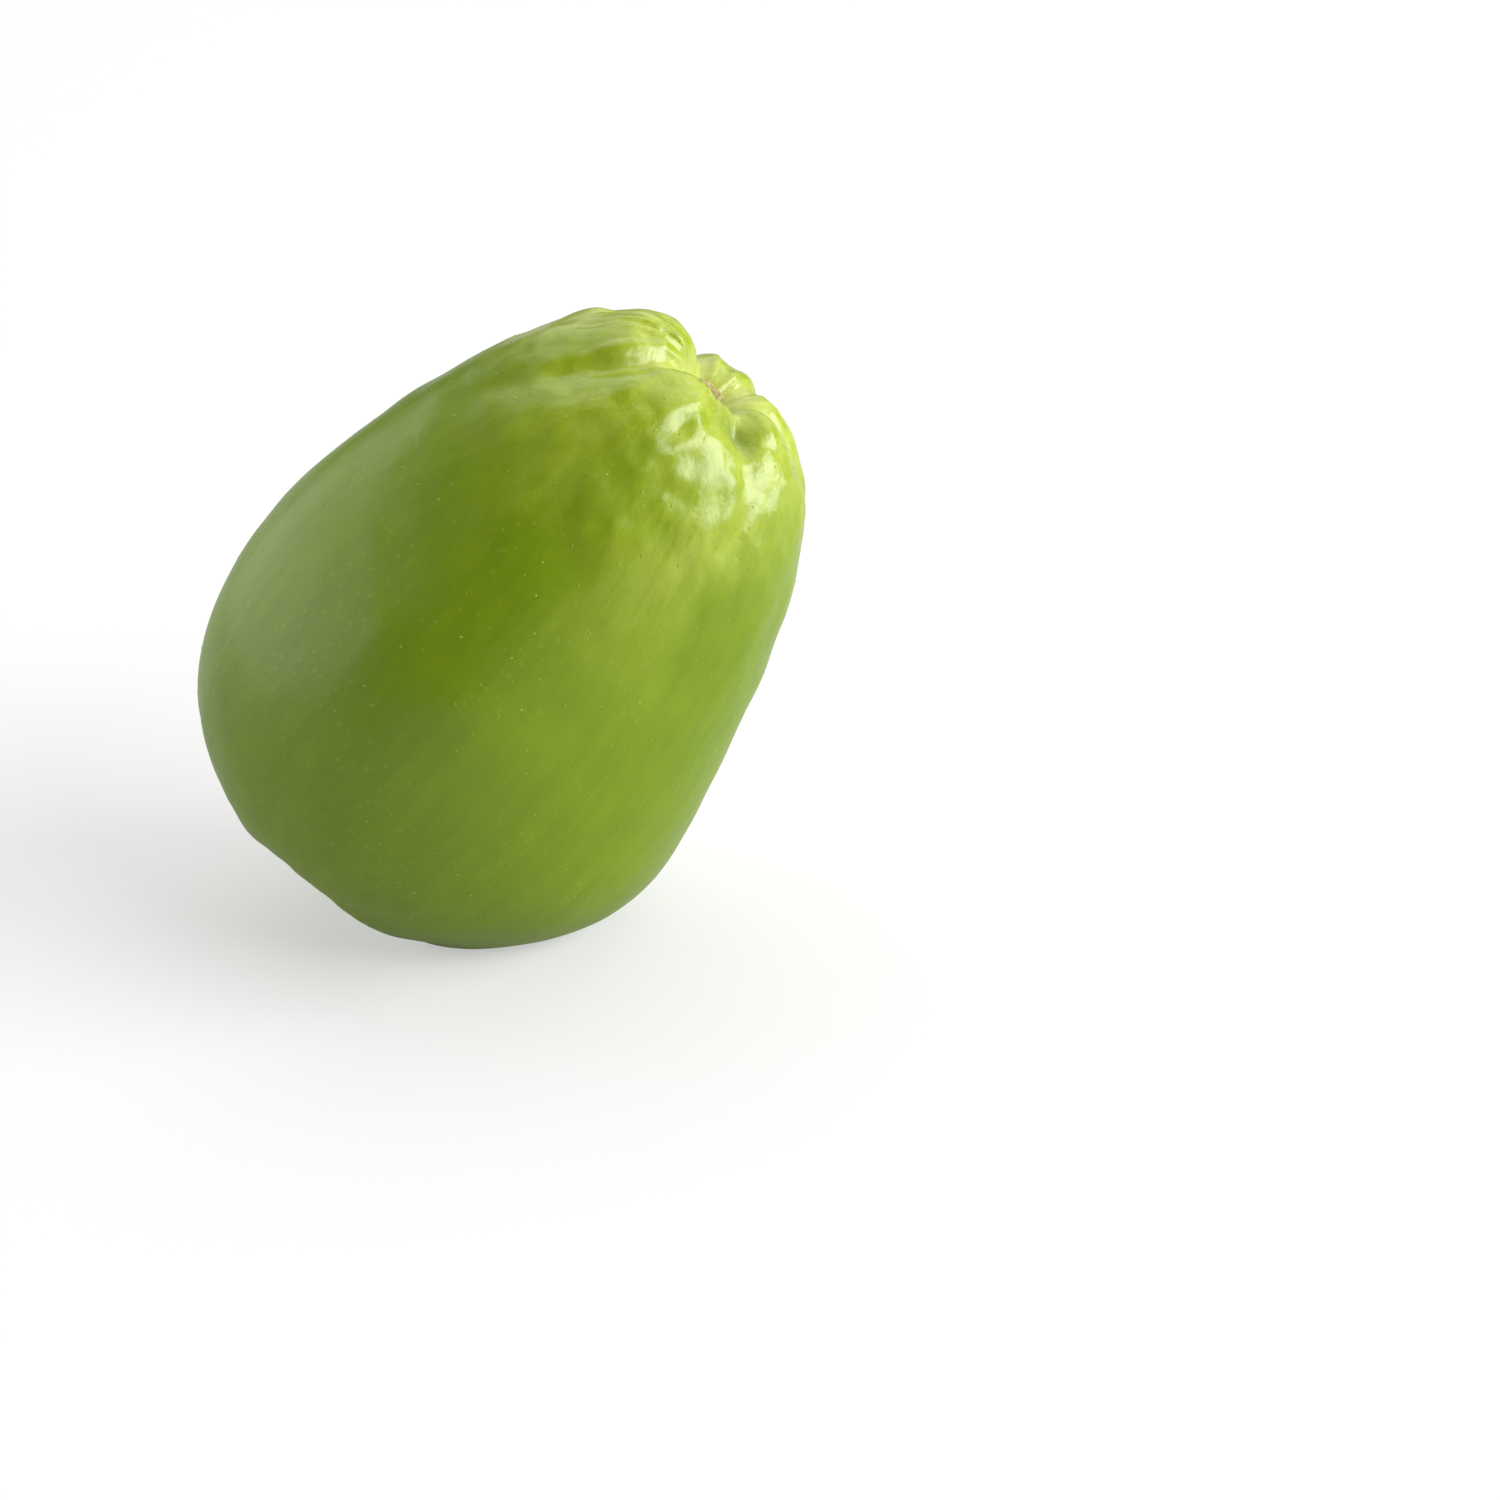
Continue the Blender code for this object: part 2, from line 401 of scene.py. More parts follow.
class FruitSurface:
    """Places points on the fruit from an arc and a longitude."""

    def __init__(self, form: FruitForm) -> None:
        """Traces the outline once.

        Args:
            form: The fruit's form.
        """
        self.form = form
        self.arcs, self.shares, self.heights = form.outline()
        self.total = float(self.arcs[-1])

    def plain(self, arc: Array, longitude: Array) -> Array:
        """Points of the plain fruit, before any furrow.

        Args:
            arc: Distance from the stem pole.
            longitude: Longitudes.

        Returns:
            Rows of three coordinates.
        """
        form = self.form
        share = np.interp(arc, self.arcs, self.shares)
        z = np.interp(arc, self.arcs, self.heights)
        x = 0.5 * form.width * share * np.cos(longitude)
        y = 0.5 * form.thickness * share * np.sin(longitude)
        under = np.clip(-np.cos(longitude), 0.0, 1.0) ** 2
        x = x - form.belly * share * under * fade(z - form.belly_at, form.belly_spread)
        return np.stack([x, y, z], axis=-1)

    def spots(self, arc: Array, longitude: Array) -> Spots:
        """Gathers what the other methods read about each place."""
        points = self.plain(arc, longitude)
        return Spots(arc, self.total - arc, np.hypot(*points.T[:2]), longitude, points)

    def normals(self, spots: Spots) -> Array:
        """Outward unit normals of the plain fruit.

        Args:
            spots: Where.

        Returns:
            Rows of three components.
        """
        step, nudge, at_pole = 0.0004, 0.01, 1e-9
        turn = spots.longitude
        middle = np.clip(spots.arc, 2.0 * step, self.total - 2.0 * step)
        down = self.plain(middle + step, turn) - self.plain(middle - step, turn)
        around = self.plain(middle, turn + nudge) - self.plain(middle, turn - nudge)
        normal = np.cross(down, around)
        normal = normal / np.linalg.norm(normal, axis=-1, keepdims=True)
        normal[spots.arc <= at_pole] = (0.0, 0.0, 1.0)
        normal[spots.arc >= self.total - at_pole] = (0.0, 0.0, -1.0)
        return normal

    def dimple_share(self, spots: Spots) -> Array:
        """How far into the small dimple beside the pit a place is.

        Args:
            spots: Where.

        Returns:
            Shares, 1 at the dimple's heart.
        """
        turn = turn_between(spots.longitude, math.radians(self.form.dimple_at[0]))
        away = np.hypot(spots.radius * turn, spots.arc - self.form.dimple_at[1])
        return fade(away, self.form.dimple_radius)

    def depth(self, spots: Spots) -> Array:
        """How far the skin goes in.

        At the stem end these are the pit, its furrows and the dimple. At the blossom end they
        are the cleft, the lips beside it and the folds.

        Args:
            spots: Where.

        Returns:
            Depths.
        """
        form = self.form
        stem = form.pit_depth * fade(spots.arc, form.pit_radius)
        stem = stem + form.stem_furrows.depth(spots, spots.arc)
        stem = stem + form.dimple_depth * self.dimple_share(spots)
        turn = spots.longitude - math.radians(form.cleft_turn)
        across = np.abs(spots.back * np.sin(turn))
        along = np.abs(spots.back * np.cos(turn)) / form.cleft_half_length
        run = np.clip(1.0 - along * along, 0.0, None)
        blossom = form.cleft_depth * run * fade(across, form.cleft_half_width, 1.5)
        lip_run = fade(along, form.lip_overrun, 4)
        blossom = blossom + form.lip_depth * lip_run * fade(across, form.lip_half_width)
        return stem + blossom + form.blossom_folds.depth(spots, spots.back)

    def shape(self, spots: Spots, relief: SkinRelief | None = None) -> Array:
        """Points of the ribbed and furrowed fruit.

        Args:
            spots: Where.
            relief: Small unevenness to add, or None for the smooth form.

        Returns:
            Rows of three coordinates.
        """
        turn = spots.longitude - math.radians(self.form.first_rib_gap)
        rib = 0.5 - 0.5 * np.cos(self.form.rib_count * turn)
        along = np.sin(math.pi * np.clip(spots.arc / self.total, 0.0, 1.0)) ** 2
        rise = self.form.rib_height * rib * along - self.depth(spots)
        if relief is not None:
            rise = rise + relief.rise(spots)
        return spots.points + self.normals(spots) * rise[:, None]


def ring_grid(rings: Array, segments: int) -> tuple[Array, Array]:
    """The value and the turn of each point, ring by ring, from one value for each ring."""
    around = np.linspace(0.0, 2.0 * math.pi, segments, endpoint=False)
    return np.repeat(rings, segments), np.tile(around, len(rings))


class Placing:
    """Puts the fruit's own frame into the world, so that it fills the CAD solid's box."""

    def __init__(self, surface: FruitSurface, low: Vector, high: Vector) -> None:
        """Leans the plain fruit, finds its ground and fits it to the box.

        Args:
            surface: The fruit's surface.
            low: Lowest corner of the CAD solid.
            high: Highest corner of the CAD solid.
        """
        rings, segments = 241, 288
        self.form = surface.form
        self.matrix = self.form.pose()
        grid = ring_grid(np.linspace(0.0, surface.total, rings), segments)
        leaned = surface.shape(surface.spots(*grid)) @ self.matrix.T
        self.ground = float(leaned[:, 2].min()) + self.form.rest_sink
        leaned[:, 2] = self.form.flatten(leaned[:, 2] - self.ground)
        own_low = leaned.min(axis=0)
        own_high = leaned.max(axis=0)
        self.scale = (np.array(high) - np.array(low)) / (own_high - own_low)
        self.shift = np.array(low) - own_low * self.scale

    def place(self, points: Array, rests: bool = False) -> Array:
        """Moves points into the world.

        Args:
            points: Rows of three coordinates in the fruit's own frame.
            rests: Whether to flatten what would go under the ground.

        Returns:
            Rows of three coordinates in the world.
        """
        moved = points @ self.matrix.T
        moved[:, 2] -= self.ground
        if rests:
            moved[:, 2] = self.form.flatten(moved[:, 2])
        return moved * self.scale + self.shift

    def turn_to_own(self) -> Triple:
        """Euler angles that turn world directions back into the fruit's own frame."""
        return tuple(Matrix(self.matrix.T.tolist()).to_euler("XYZ"))


# ---- Mesh and node helpers ----


def add_object(name: str, data: bpy.types.ID) -> Object:
    """Makes an object at the origin and links it to the scene.

    Args:
        name: The object's name.
        data: Its mesh, light or camera.

    Returns:
        The new object.
    """
    obj = bpy.data.objects.new(name, data)
    bpy.context.scene.collection.objects.link(obj)
    return obj


def make_object(name: str, points: Array, faces: list[tuple[int, ...]]) -> Object:
    """Makes a smooth mesh object at the origin.

    Args:
        name: Name of the object and its mesh.
        points: Rows of three world coordinates.
        faces: Vertex numbers of each face, turning outwards.

    Returns:
        The new object.
    """
    mesh = bpy.data.meshes.new(name)
    mesh.from_pydata(points.tolist(), [], faces)
    mesh.validate()
    mesh.update()
    mesh.shade_smooth()
    return add_object(name, mesh)


def store(obj: Object, name: Attribute, values: Array) -> None:
    """Keeps one value for each vertex on a mesh."""
    layer = obj.data.attributes.new(name.value, "FLOAT", "POINT")
    layer.data.foreach_set("value", np.asarray(values, np.float32))


def sphere_faces(rings: int, segments: int) -> list[tuple[int, ...]]:
    """Faces of a closed body of rings, with one vertex at each pole.

    Args:
        rings: Rings between the poles.
        segments: Vertices on each ring.

    Returns:
        Faces that turn outwards when the first pole is the upper one.
    """
    faces: list[tuple[int, ...]] = []
    last = 1 + rings * segments
    for seg in range(segments):
        after = (seg + 1) % segments
        faces.append((0, 1 + seg, 1 + after))
        base = 1 + (rings - 1) * segments
        faces.append((last, base + after, base + seg))
    for ring in range(rings - 1):
        upper = 1 + ring * segments
        lower = upper + segments
        for seg in range(segments):
            after = (seg + 1) % segments
            faces.append((upper + seg, lower + seg, lower + after, upper + after))
    return faces


class TreeBuilder:
    """Adds nodes to a material, a node group or a scatter tree, and links them."""

    def __init__(self, tree: NodeTree) -> None:
        """Takes the tree that the nodes go into."""
        self.tree = tree
        self.count = 0

    def add(
        self, kind: str, feeds: dict[str | int, object] | None = None, **settings: object
    ) -> Node:
        """Adds one node and feeds its inputs.

        Args:
            kind: The node's type name.
            feeds: What its inputs get, by their names or numbers.
            **settings: Its properties.

        Returns:
            The new node.
        """
        node = self.tree.nodes.new(kind)
        node.location = (180.0 * (self.count % 8), -240.0 * (self.count // 8))
        self.count += 1
        for key, value in settings.items():
            setattr(node, key, value)
        self.feed(node, feeds or {})
        return node

    def feed(self, node: Node, feeds: dict[str | int, object]) -> None:
        """Links inputs to other nodes' outputs, or sets their values.

        Args:
            node: The node to feed.
            feeds: An output, a number, a colour or a vector for each input's name or number.
        """
        for name, value in feeds.items():
            if isinstance(value, NodeSocket):
                self.tree.links.new(value, node.inputs[name])
            else:
                node.inputs[name].default_value = value

    def maths(self, operation: str, first: object, second: object) -> NodeSocket:
        """Adds a Math node and gives its result."""
        return self.add("ShaderNodeMath", {0: first, 1: second}, operation=operation).outputs[0]

    def span(
        self, value: object, low: float, high: float, to_low: float = 0.0, to_high: float = 1.0
    ) -> NodeSocket:
        """Maps the range from low to high onto another, smoothly and clamped."""
        feeds = {0: value, 1: low, 2: high, 3: to_low, 4: to_high}
        return self.add("ShaderNodeMapRange", feeds, interpolation_type="SMOOTHSTEP").outputs[0]

    def mix(self, share: object, first: object, second: object) -> NodeSocket:
        """Mixes two colours, with a share of the second."""
        feeds = {0: share, 6: first, 7: second}
        return self.add("ShaderNodeMix", feeds, data_type="RGBA").outputs[2]

    def blend(self, share: object, first: object, second: object) -> NodeSocket:
        """Mixes two numbers, with a share of the second."""
        feeds = {0: share, 2: first, 3: second}
        return self.add("ShaderNodeMix", feeds, data_type="FLOAT").outputs[0]

    def noise(
        self, place: object, scale: object, detail: float, roughness: float = 0.5
    ) -> NodeSocket:
        """Adds a Noise Texture that is read at a place, and gives its value."""
        feeds = {"Vector": place, "Scale": scale, "Detail": detail, "Roughness": roughness}
        return self.add("ShaderNodeTexNoise", feeds).outputs["Fac"]

    def stretch(self, share: object) -> NodeSocket:
        """A vector that leaves X and Y alone and scales Z by a share."""
        return self.add("ShaderNodeCombineXYZ", {0: 1.0, 1: 1.0, 2: share}).outputs[0]

    def attribute(self, name: Attribute) -> NodeSocket:
        """Reads a value that the mesh carries at each vertex."""
        return self.add("ShaderNodeAttribute", attribute_name=name.value).outputs["Fac"]


def start_tree(
    name: str, kind: str, inputs: dict[Socket, tuple], outputs: dict[Socket, tuple]
) -> tuple[TreeBuilder, Node, Node]:
    """Starts a node tree that has its own sockets.

    Args:
        name: The tree's name.
        kind: The tree's type name.
        inputs: Names of the inputs of each kind.
        outputs: Names of the outputs of each kind.

    Returns:
        The tree's builder, its input node and its output node.
    """
    tree = bpy.data.node_groups.new(name, kind)
    for way, sockets in (("INPUT", inputs), ("OUTPUT", outputs)):
        for socket, labels in sockets.items():
            for label in labels:
                tree.interface.new_socket(label, in_out=way, socket_type=socket.value)
    builder = TreeBuilder(tree)
    return builder, builder.add("NodeGroupInput"), builder.add("NodeGroupOutput")


@dataclass
class SharedEffects:
    """Node groups for the finishes, each built once.

    turn is the Euler angles that turn world directions into the fruit's own frame. A stretch
    is how much shorter the long axis counts, so that a small one draws a pattern out along it.
    """

    turn: Triple
    cloud_stretch: float = 0.6
    cloud_edges: Pair = (0.34, 0.66)
    streak_stretch: float = 0.10
    streak_edges: Pair = (0.38, 0.62)
    fleck_stretch: float = 0.8
    fleck_core: float = 0.55
    patch_scale: float = 90.0
    patch_edges: Pair = (0.42, 0.62)
    swell_scale: float = 0.22
    swell_height: float = 2.4

    def __post_init__(self) -> None:
        """Builds the groups."""
        self.mottle = self._build_mottle()
        self.flecks = self._build_flecks()
        self.grain = self._build_grain()

    def _place(self, tree: TreeBuilder, stretch: object) -> NodeSocket:
        """A place in the fruit's own frame, with patterns drawn out along its length.

        Args:
            tree: The group's builder.
            stretch: How much shorter the long axis counts.

        Returns:
            The place, as a vector.
        """
        where = tree.add("ShaderNodeTexCoord").outputs["Object"]
        turned = tree.add("ShaderNodeMapping", {"Rotation": self.turn, "Vector": where})
        feeds = {0: turned.outputs["Vector"], 1: tree.stretch(stretch)}
        return tree.add("ShaderNodeVectorMath", feeds, operation="MULTIPLY").outputs[0]

    def _build_mottle(self) -> NodeTree:
        """Cloudy change between two colours, with streaks that run the fruit's length.

        Returns:
            The group.
        """
        tree, given, out = start_tree(
            "cloudy_mottle",
            "ShaderNodeTree",
            {
                Socket.COLOUR: ("Darker", "Lighter"),
                Socket.NUMBER: ("Cloud Scale", "Streak Scale", "Streak Share"),
            },
            {Socket.COLOUR: ("Colour",), Socket.NUMBER: ("Mask",)},
        )
        place = self._place(tree, self.cloud_stretch)
        clouds = tree.noise(place, given.outputs["Cloud Scale"], 4.0, 0.55)
        place = self._place(tree, self.streak_stretch)
        streaks = tree.noise(place, given.outputs["Streak Scale"], 3.0, 0.6)
        mask = tree.span(clouds, *self.cloud_edges)
        streak = tree.span(streaks, *self.streak_edges)
        share = tree.blend(given.outputs["Streak Share"], mask, streak)
        colour = tree.mix(share, given.outputs["Darker"], given.outputs["Lighter"])
        tree.feed(out, {"Colour": colour, "Mask": mask})
        return tree.tree

    def _build_flecks(self) -> NodeTree:
        """Small pale flecks, thinned out by a slow noise.

        Returns:
            The group.
        """
        tree, given, out = start_tree(
            "pale_flecks",
            "ShaderNodeTree",
            {Socket.NUMBER: ("Spacing Scale", "Size")},
            {Socket.NUMBER: ("Mask",)},
        )
        place = self._place(tree, self.fleck_stretch)
        feeds = {"Vector": place, "Scale": given.outputs["Spacing Scale"]}
        cells = tree.add("ShaderNodeTexVoronoi", feeds)
        far = tree.maths("DIVIDE", cells.outputs["Distance"], given.outputs["Size"])
        dot = tree.span(far, self.fleck_core, 1.0, 1.0, 0.0)
        thin = tree.span(tree.noise(place, self.patch_scale, 2.0), *self.patch_edges)
        tree.feed(out, {"Mask": tree.maths("MULTIPLY", dot, thin)})
        return tree.tree

    def _build_grain(self) -> NodeTree:
        """Fine relief for a Bump node: cell grain with a slower swell under it.

        Returns:
            The group.
        """
        tree, given, out = start_tree(
            "fine_grain",
            "ShaderNodeTree",
            {Socket.NUMBER: ("Grain Scale", "Stretch")},
            {Socket.NUMBER: ("Height",)},
        )
        place = self._place(tree, given.outputs["Stretch"])
        fine = tree.noise(place, given.outputs["Grain Scale"], 3.0)
        slow = tree.maths("MULTIPLY", given.outputs["Grain Scale"], self.swell_scale)
        swell = tree.maths("MULTIPLY", tree.noise(place, slow, 2.0), self.swell_height)
        tree.feed(out, {"Height": tree.maths("ADD", fine, swell)})
        return tree.tree


# ---- Finishes ----


def start_material(name: str) -> tuple[Material, TreeBuilder, Node]:
    """Makes a material with a Principled BSDF.

    Args:
        name: The material's name.

    Returns:
        The material, its tree's builder and the shader node.
    """
    material = bpy.data.materials.new(name)
    material.use_nodes = True
    shader = material.node_tree.nodes["Principled BSDF"]
    return material, TreeBuilder(material.node_tree), shader


@dataclass(frozen=True)
class Mottle:
    """Values of the cloudy mottle, in the order of its inputs."""

    darker: Colour
    lighter: Colour
    clouds: float
    streaks: float = 1400.0
    streak_share: float = 0.5

    def add(self, tree: TreeBuilder, effects: SharedEffects) -> Node:
        """Places the cloudy mottle in a material with these values."""
        feeds = dict(enumerate(astuple(self)))
        return tree.add("ShaderNodeGroup", feeds, node_tree=effects.mottle)


@dataclass(frozen=True)
class Grain:
    """Scale and stretch of a fine relief, and the strength and depth of its bump."""

    scale: float
    stretch: float
    strength: float
    depth: float

    def height(self, tree: TreeBuilder, effects: SharedEffects) -> NodeSocket:
        """Places the fine grain in a material, and gives its height."""
        feeds = {"Grain Scale": self.scale, "Stretch": self.stretch}
        return tree.add("ShaderNodeGroup", feeds, node_tree=effects.grain).outputs["Height"]

    def bump(self, tree: TreeBuilder, height: NodeSocket) -> Node:
        """Adds the Bump node that reads a height."""
        feeds = {"Strength": self.strength, "Distance": self.depth, "Height": height}
        return tree.add("ShaderNodeBump", feeds)


@dataclass(frozen=True)
class WaxySkin:
    """Green skin under a thin natural wax, paler and yellower towards the stem.

    end_edges are the shares of the outline where the stem end's look is full and where it is
    gone. The pale cream in the furrows is partly the skin's own tint and partly a painted
    highlight, and the crease edges hold where it begins and is full. The dark green in the dimple
    beside the pit is painted shade. roughness is that of the body's darker and lighter clouds, and
    coat is the wax on the body and at the stem end.
    """

    body: Mottle = Mottle(
        (0.172, 0.275, 0.001, 1.0), (0.216, 0.330, 0.002, 1.0), 34.0, 330.0, 0.35
    )
    stem_end: Mottle = Mottle(
        (0.300, 0.395, 0.005, 1.0), (0.445, 0.520, 0.060, 1.0), 95.0, 420.0, 0.45
    )
    end_edges: Pair = (-0.02, 0.32)
    end_wander: float = 0.14
    # Pale cream in the furrows: partly the skin's own tint, partly a painted highlight.
    crease: Colour = (0.560, 0.600, 0.150, 1.0)
    crease_edges: Pair = (0.20, 0.95)
    crease_share: float = 0.60
    # Painted shade: dark green laid into the dimple beside the pit, where the dimple's own shade
    # falls.
    hollow: Colour = (0.110, 0.205, 0.002, 1.0)
    hollow_share: float = 0.75
    fleck: Colour = (0.300, 0.390, 0.030, 1.0)
    fleck_share: float = 0.32
    fleck_scale: float = 520.0
    fleck_size: float = 0.30
    grain: Grain = Grain(950.0, 0.55, 0.10, 0.0006)
    crinkle: Grain = Grain(430.0, 0.24, 0.40, 0.0011)
    roughness: Pair = (0.35, 0.44)
    stem_roughness: float = 0.27
    specular: float = 0.40
    coat: Pair = (0.15, 0.32)
    coat_roughness: float = 0.20
    subsurface: float = 0.15
    subsurface_radius: Triple = (0.55, 1.0, 0.12)
    subsurface_scale: float = 0.004

    def make(self, effects: SharedEffects) -> Material:
        """Builds the skin's material.

        Args:
            effects: The shared node groups.

        Returns:
            The material.
        """
        material, tree, shader = start_material("waxy_green_skin")
        body = self.body.add(tree, effects)
        end = self.stem_end.add(tree, effects)
        wander = tree.maths("MULTIPLY", body.outputs["Mask"], self.end_wander)
        from_stem = tree.maths("SUBTRACT", tree.attribute(Attribute.FROM_STEM), wander)
        end_share = tree.span(from_stem, *self.end_edges, 1.0, 0.0)
        feeds = {"Spacing Scale": self.fleck_scale, "Size": self.fleck_size}
        flecks = tree.add("ShaderNodeGroup", feeds, node_tree=effects.flecks).outputs["Mask"]
        # Masks of the furrows' pale cream, which is partly a painted highlight, and of the painted
        # dimple shade.
        depth = tree.attribute(Attribute.CREASE)
        hollow = tree.attribute(Attribute.HOLLOW)
        colour = tree.mix(end_share, body.outputs["Colour"], end.outputs["Colour"])
        # Lays on the furrows' cream and painted highlight, the painted shade in the dimple and the
        # pale flecks.
        for share, mark in (
            (tree.span(depth, *self.crease_edges, 0.0, self.crease_share), self.crease),
            (tree.maths("MULTIPLY", hollow, self.hollow_share), self.hollow),
            (tree.maths("MULTIPLY", flecks, self.fleck_share), self.fleck),
        ):
            colour = tree.mix(share, colour, mark)
        worn = tree.span(body.outputs["Mask"], 0.0, 1.0, *self.roughness)
        crinkles = tree.maths("MULTIPLY", self.crinkle.height(tree, effects), end_share)
        crinkled = self.crinkle.bump(tree, crinkles)
        relief = tree.maths("ADD", self.grain.height(tree, effects), flecks)
        bump = self.grain.bump(tree, relief)
        tree.feed(bump, {"Normal": crinkled.outputs["Normal"]})
        feeds = {
            "Base Color": colour,
            "Roughness": tree.blend(end_share, worn, self.stem_roughness),
            "Normal": bump.outputs["Normal"],
            "Specular IOR Level": self.specular,
            "Coat Weight": tree.span(end_share, 0.0, 1.0, *self.coat),
            "Coat Roughness": self.coat_roughness,
            "Subsurface Weight": self.subsurface,
            "Subsurface Radius": self.subsurface_radius,
            "Subsurface Scale": self.subsurface_scale,
        }
        tree.feed(shader, feeds)
        return material


@dataclass(frozen=True)
class DryCork:
    """Dry corky tissue, rougher where it is lighter."""

    name: str
    mottle: Mottle
    roughness: float
    bump: float
    rougher: float = 0.15
    grain_scale: float = 1800.0
    grain_depth: float = 0.0004

    def make(self, effects: SharedEffects) -> Material:
        """Builds the cork's material.

        Args:
            effects: The shared node groups.

        Returns:
            The material.
        """
        material, tree, shader = start_material(self.name)
        body = self.mottle.add(tree, effects)
        most = self.roughness + self.rougher
        grain = Grain(self.grain_scale, 1.0, self.bump, self.grain_depth)
        bump = grain.bump(tree, grain.height(tree, effects))
        feeds = {
            "Base Color": body.outputs["Colour"],
            "Roughness": tree.span(body.outputs["Mask"], 0.0, 1.0, self.roughness, most),
            "Normal": bump.outputs["Normal"],
        }
        tree.feed(shader, feeds)
        return material


STEM_CORK = DryCork(
    "stem_cork", Mottle((0.22, 0.17, 0.045, 1.0), (0.50, 0.46, 0.19, 1.0), 700.0), 0.75, 0.5
)
DRY_FLOWER = DryCork(
    "dry_flower", Mottle((0.10, 0.06, 0.02, 1.0), (0.30, 0.20, 0.08, 1.0), 900.0), 0.8, 0.5
)
PORE_CORK = DryCork(
    "lenticel_cork", Mottle((0.230, 0.325, 0.020, 1.0), (0.330, 0.420, 0.050, 1.0), 60.0), 0.5, 0.1
)


@dataclass(frozen=True)
class PalePaper:
    """Matt white sheet, exposed brighter for the camera than it lights the fruit."""

    darkest: float = 0.985
    fibre_scale: float = 900.0
    colour: Colour = (0.48, 0.48, 0.48, 1.0)
    seen_glow: Colour = (0.46, 0.46, 0.46, 1.0)
    cast_glow: Colour = (0.08, 0.08, 0.08, 1.0)
    roughness: float = 0.9
    specular: float = 0.1

    def make(self) -> Material:
        """Builds the floor's material.

        Returns:
            The material.
        """
        material, tree, shader = start_material("pale_paper")
        where = tree.add("ShaderNodeTexCoord").outputs["Object"]
        fibres = tree.noise(where, self.fibre_scale, 3.0)
        darker = tuple(self.darkest * part for part in self.colour[:3]) + (1.0,)
        seen = tree.add("ShaderNodeLightPath").outputs["Is Camera Ray"]
        feeds = {
            "Base Color": tree.mix(fibres, self.colour, darker),
            "Roughness": self.roughness,
            "Specular IOR Level": self.specular,
            "Emission Color": tree.mix(seen, self.cast_glow, self.seen_glow),
            "Emission Strength": 1.0,
        }
        tree.feed(shader, feeds)
        return material


# ---- Sub-assemblies ----


@dataclass
class GrownPiece:
    """A piece that is built in the fruit's own frame and then placed."""

    surface: FruitSurface
    placing: Placing
    obj: Object | None = field(default=None, init=False)

    def dress(self, finish: WaxySkin | DryCork, effects: SharedEffects) -> None:
        """Puts a finish on the piece."""
        self.obj.data.materials.append(finish.make(effects))


@dataclass
class FruitSkin(GrownPiece):
    """The whole fruit's closed skin.

    Its rings crowd towards both ends. A crease is full in a furrow full_depth deep near an end,
    and middle_share of that between the ends. The bare parts, where lenticels are, have no
    furrow deeper than bare_depth and are above bare_height.
    """

    relief: SkinRelief = SkinRelief()
    segments: int = 320
    rings: int = 288
    crowding: float = 1.6
    crowded_reach: float = 0.022
    blossom_crowding: float = 1.2
    full_depth: float = 0.0055
    end_reach: float = 0.030
    middle_share: float = 0.25
    bare_depth: float = 0.0012
    bare_height: float = 0.004

    def ring_arcs(self) -> Array:
        """Arc of each ring and of both poles, crowded towards the two ends.

        Returns:
            The arcs, from the stem pole to the blossom pole.
        """
        total = self.surface.total
        fine = np.linspace(0.0, total, 4001)
        near = fade(fine, self.crowded_reach)
        far = fade(total - fine, self.blossom_crowding * self.crowded_reach)
        density = 1.0 + self.crowding * (near + far)
        sums = np.concatenate([[0.0], np.cumsum(0.5 * (density[1:] + density[:-1]))])
        wanted = np.linspace(0.0, sums[-1], self.rings + 2)
        return np.interp(wanted, sums, fine)

    def build(self) -> Object:
        """Builds the closed mesh and the values that its finish reads.

        Returns:
            The skin.
        """
        surface = self.surface
        arcs = self.ring_arcs()
        arc, longitude = ring_grid(arcs[1:-1], self.segments)
        arc = np.concatenate([arcs[:1], arc, arcs[-1:]])
        longitude = np.concatenate([[0.0], longitude, [0.0]])
        spots = surface.spots(arc, longitude)
        world = self.placing.place(surface.shape(spots, self.relief), rests=True)
        self.obj = make_object("fruit_skin", world, sphere_faces(self.rings, self.segments))
        depth = surface.depth(spots)
        ends = self.middle_share + (1.0 - self.middle_share) * fade(arc, self.end_reach, 4)
        ends = np.maximum(ends, fade(spots.back, self.end_reach, 4))
        bare = (depth < self.bare_depth) & (world[:, 2] > self.bare_height)
        # Masks of the painted shade in the dimple and of the furrows' cream and painted highlight.
        store(self.obj, Attribute.HOLLOW, surface.dimple_share(spots))
        store(self.obj, Attribute.CREASE, np.clip(depth / self.full_depth, 0.0, 1.0) * ends)
        store(self.obj, Attribute.FROM_STEM, arc / surface.total)
        store(self.obj, Attribute.BARE, bare.astype(float))
        return self.obj


@dataclass
class Nub(GrownPiece):
    """A small closed body of rings, seated at one end of the fruit.

    Its first pole points out of the fruit, and its root goes into the skin.
    """

    rings: int
    segments: int
    root: float

    def grid(self) -> tuple[Array, Array]:
        """Share of the way to the last pole, and turn, of each ring point."""
        return ring_grid(np.arange(1, self.rings + 1) / (self.rings + 1), self.segments)

    def seat(
        self, name: str, body: Array, top: float, base: float, down: bool = False
    ) -> Object:
        """Closes the rings with two poles, and puts the body in its place.

        Args:
            name: The piece's name.
            body: The ring points, as rows of three.
            top: Height of the first pole.
            base: Height on the fruit's long axis where the root begins.
            down: Whether the body points down the long axis.

        Returns:
            The piece.
        """
        poles = np.array([[0.0, 0.0, top], [0.0, 0.0, -self.root]])
        points = np.concatenate([poles[:1], body, poles[1:]])
        if down:
            points[:, 1:] *= -1.0
        points[:, 2] += base
        faces = sphere_faces(self.rings, self.segments)
        self.obj = make_object(name, self.placing.place(points), faces)
        return self.obj


